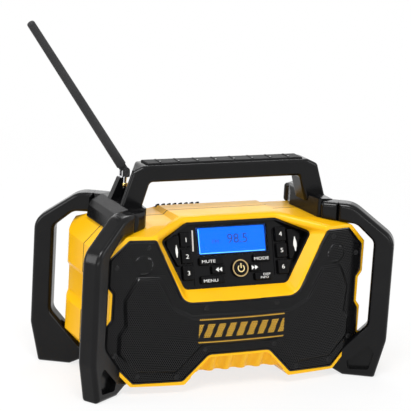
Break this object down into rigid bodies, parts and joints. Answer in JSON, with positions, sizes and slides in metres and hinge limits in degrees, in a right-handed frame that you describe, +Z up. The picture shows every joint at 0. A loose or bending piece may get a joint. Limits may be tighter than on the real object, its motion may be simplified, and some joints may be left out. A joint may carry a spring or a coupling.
{
  "type": "jobsite radio",
  "caption": "Portable jobsite radio in a black roll cage: yellow housing, bowed grille over stereo speakers, sloping control panel with display, carry handle and folding antenna.",
  "frame": {"origin": "centre of the four feet of the cage, on the ground", "axes": "+X to the right seen from the front, +Y from the front to the rear, +Z up"},
  "size_m": [0.4173, 0.183, 0.4004],
  "materials": {
    "yellow_shell": "satin moulded",
    "cage_black": "satin over-mould",
    "black_plastic": "gloss moulded",
    "black_rubber": "matt",
    "grille_steel": "perforated, satin black",
    "black_steel": "satin",
    "clear_lens": "gloss",
    "blue_display": "lit",
    "board_green": "satin",
    "chrome_metal": "polished",
    "key_black": "satin",
    "cone_black": "matt",
    "brass_metal": "plated",
    "plain_steel": "plated"
  },
  "bodies": {
    "radio_body": {"antenna_post": "black_plastic", "aux_socket": "brass_metal", "battery_bay": "black_plastic", "battery_terminals": "brass_metal", "cage_front_left": "cage_black", "cage_front_right": "cage_black", "cage_rear_left": "cage_black", "cage_rear_right": "cage_black", "cage_screws": "black_steel", "control_board": "board_green", "control_panel": "black_plastic", "dc_inlet": "black_plastic", "foot_pads": "black_rubber", "front_housing": "yellow_shell", "grille_screws": "black_steel", "handle": "cage_black", "handle_insert": "black_rubber", "handle_screws": "black_steel", "housing_screws": "black_steel", "housing_seal": "black_rubber", "lcd_module": "blue_display", "lcd_window": "clear_lens", "main_board": "board_green", "port_panel": "black_plastic", "rear_housing": "yellow_shell", "rear_screws": "black_steel", "saddle_left": "cage_black", "saddle_right": "cage_black", "speaker_frame_left": "black_steel", "speaker_frame_right": "black_steel", "speaker_grille": "grille_steel", "speaker_magnet_left": "black_steel", "speaker_magnet_right": "black_steel", "top_vent": "black_plastic", "tweeter_left": "cone_black", "tweeter_right": "cone_black", "usb_socket": "plain_steel"},
    "preset_key_1": {"preset_key_1": "key_black"},
    "preset_key_2": {"preset_key_2": "key_black"},
    "preset_key_3": {"preset_key_3": "key_black"},
    "preset_key_4": {"preset_key_4": "key_black"},
    "preset_key_5": {"preset_key_5": "key_black"},
    "preset_key_6": {"preset_key_6": "key_black"},
    "mute_key": {"mute_key": "key_black"},
    "menu_key": {"menu_key": "key_black"},
    "mode_key": {"mode_key": "key_black"},
    "display_key": {"display_key": "key_black"},
    "skip_back_key": {"skip_back_key": "key_black"},
    "skip_forward_key": {"skip_forward_key": "key_black"},
    "power_button": {"power_button": "key_black"},
    "volume_rocker": {"volume_rocker": "key_black"},
    "tuning_rocker": {"tuning_rocker": "key_black"},
    "antenna_turret": {"antenna_swivel": "chrome_metal", "antenna_pin": "chrome_metal"},
    "antenna_whip": {"antenna_rod": "black_rubber"},
    "speaker_cone_right": {"speaker_cone_right": "cone_black"},
    "speaker_cone_left": {"speaker_cone_left": "cone_black"},
    "socket_cover": {"port_cover": "black_rubber"}
  },
  "joints": [
    {"name": "preset_key_1_press", "type": "slide", "parent": "radio_body", "child": "preset_key_1", "axis": [0, 0.9373, -0.3486], "range_m": [0, 0.001], "stiffness_N_per_m": 1500},
    {"name": "preset_key_2_press", "type": "slide", "parent": "radio_body", "child": "preset_key_2", "axis": [0, 0.9373, -0.3486], "range_m": [0, 0.001], "stiffness_N_per_m": 1500},
    {"name": "preset_key_3_press", "type": "slide", "parent": "radio_body", "child": "preset_key_3", "axis": [0, 0.9373, -0.3486], "range_m": [0, 0.001], "stiffness_N_per_m": 1500},
    {"name": "preset_key_4_press", "type": "slide", "parent": "radio_body", "child": "preset_key_4", "axis": [0, 0.9373, -0.3486], "range_m": [0, 0.001], "stiffness_N_per_m": 1500},
    {"name": "preset_key_5_press", "type": "slide", "parent": "radio_body", "child": "preset_key_5", "axis": [0, 0.9373, -0.3486], "range_m": [0, 0.001], "stiffness_N_per_m": 1500},
    {"name": "preset_key_6_press", "type": "slide", "parent": "radio_body", "child": "preset_key_6", "axis": [0, 0.9373, -0.3486], "range_m": [0, 0.001], "stiffness_N_per_m": 1500},
    {"name": "mute_key_press", "type": "slide", "parent": "radio_body", "child": "mute_key", "axis": [0, 0.9373, -0.3486], "range_m": [0, 0.001], "stiffness_N_per_m": 1500},
    {"name": "menu_key_press", "type": "slide", "parent": "radio_body", "child": "menu_key", "axis": [0, 0.9373, -0.3486], "range_m": [0, 0.001], "stiffness_N_per_m": 1500},
    {"name": "mode_key_press", "type": "slide", "parent": "radio_body", "child": "mode_key", "axis": [0, 0.9373, -0.3486], "range_m": [0, 0.001], "stiffness_N_per_m": 1500},
    {"name": "display_key_press", "type": "slide", "parent": "radio_body", "child": "display_key", "axis": [0, 0.9373, -0.3486], "range_m": [0, 0.001], "stiffness_N_per_m": 1500},
    {"name": "skip_back_key_press", "type": "slide", "parent": "radio_body", "child": "skip_back_key", "axis": [0, 0.9373, -0.3486], "range_m": [0, 0.001], "stiffness_N_per_m": 1500},
    {"name": "skip_forward_key_press", "type": "slide", "parent": "radio_body", "child": "skip_forward_key", "axis": [0, 0.9373, -0.3486], "range_m": [0, 0.001], "stiffness_N_per_m": 1500},
    {"name": "power_button_press", "type": "slide", "parent": "radio_body", "child": "power_button", "axis": [0, 0.9373, -0.3486], "range_m": [0, 0.001], "stiffness_N_per_m": 1500},
    {"name": "volume_rocker_tip", "type": "hinge", "parent": "radio_body", "child": "volume_rocker", "pos_m": [-0.0725, -0.0404, 0.1529], "axis": [1, 0, 0], "range_deg": [-2.5, 2.5], "stiffness_Nm_per_rad": 0.6},
    {"name": "tuning_rocker_tip", "type": "hinge", "parent": "radio_body", "child": "tuning_rocker", "pos_m": [0.0725, -0.0404, 0.1529], "axis": [1, 0, 0], "range_deg": [-2.5, 2.5], "stiffness_Nm_per_rad": 0.6},
    {"name": "antenna_turn", "type": "hinge", "parent": "radio_body", "child": "antenna_turret", "pos_m": [-0.109, 0.014, 0.226], "axis": [0, 0, 1], "range_deg": [-180, 0]},
    {"name": "antenna_fold", "type": "hinge", "parent": "antenna_turret", "child": "antenna_whip", "pos_m": [-0.109, 0.014, 0.233], "axis": [0, -1, 0], "range_deg": [-130, 54.8]},
    {"name": "speaker_cone_right_throw", "type": "slide", "parent": "radio_body", "child": "speaker_cone_right", "axis": [0.15, -0.9887, 0], "range_m": [-0.0015, 0.0015], "stiffness_N_per_m": 800},
    {"name": "speaker_cone_left_throw", "type": "slide", "parent": "radio_body", "child": "speaker_cone_left", "axis": [-0.15, -0.9887, 0], "range_m": [-0.0015, 0.0015], "stiffness_N_per_m": 800},
    {"name": "socket_cover_hinge", "type": "hinge", "parent": "radio_body", "child": "socket_cover", "pos_m": [0.108, 0.0686, 0.046], "axis": [-1, 0, 0], "range_deg": [0, 150]}
  ]
}
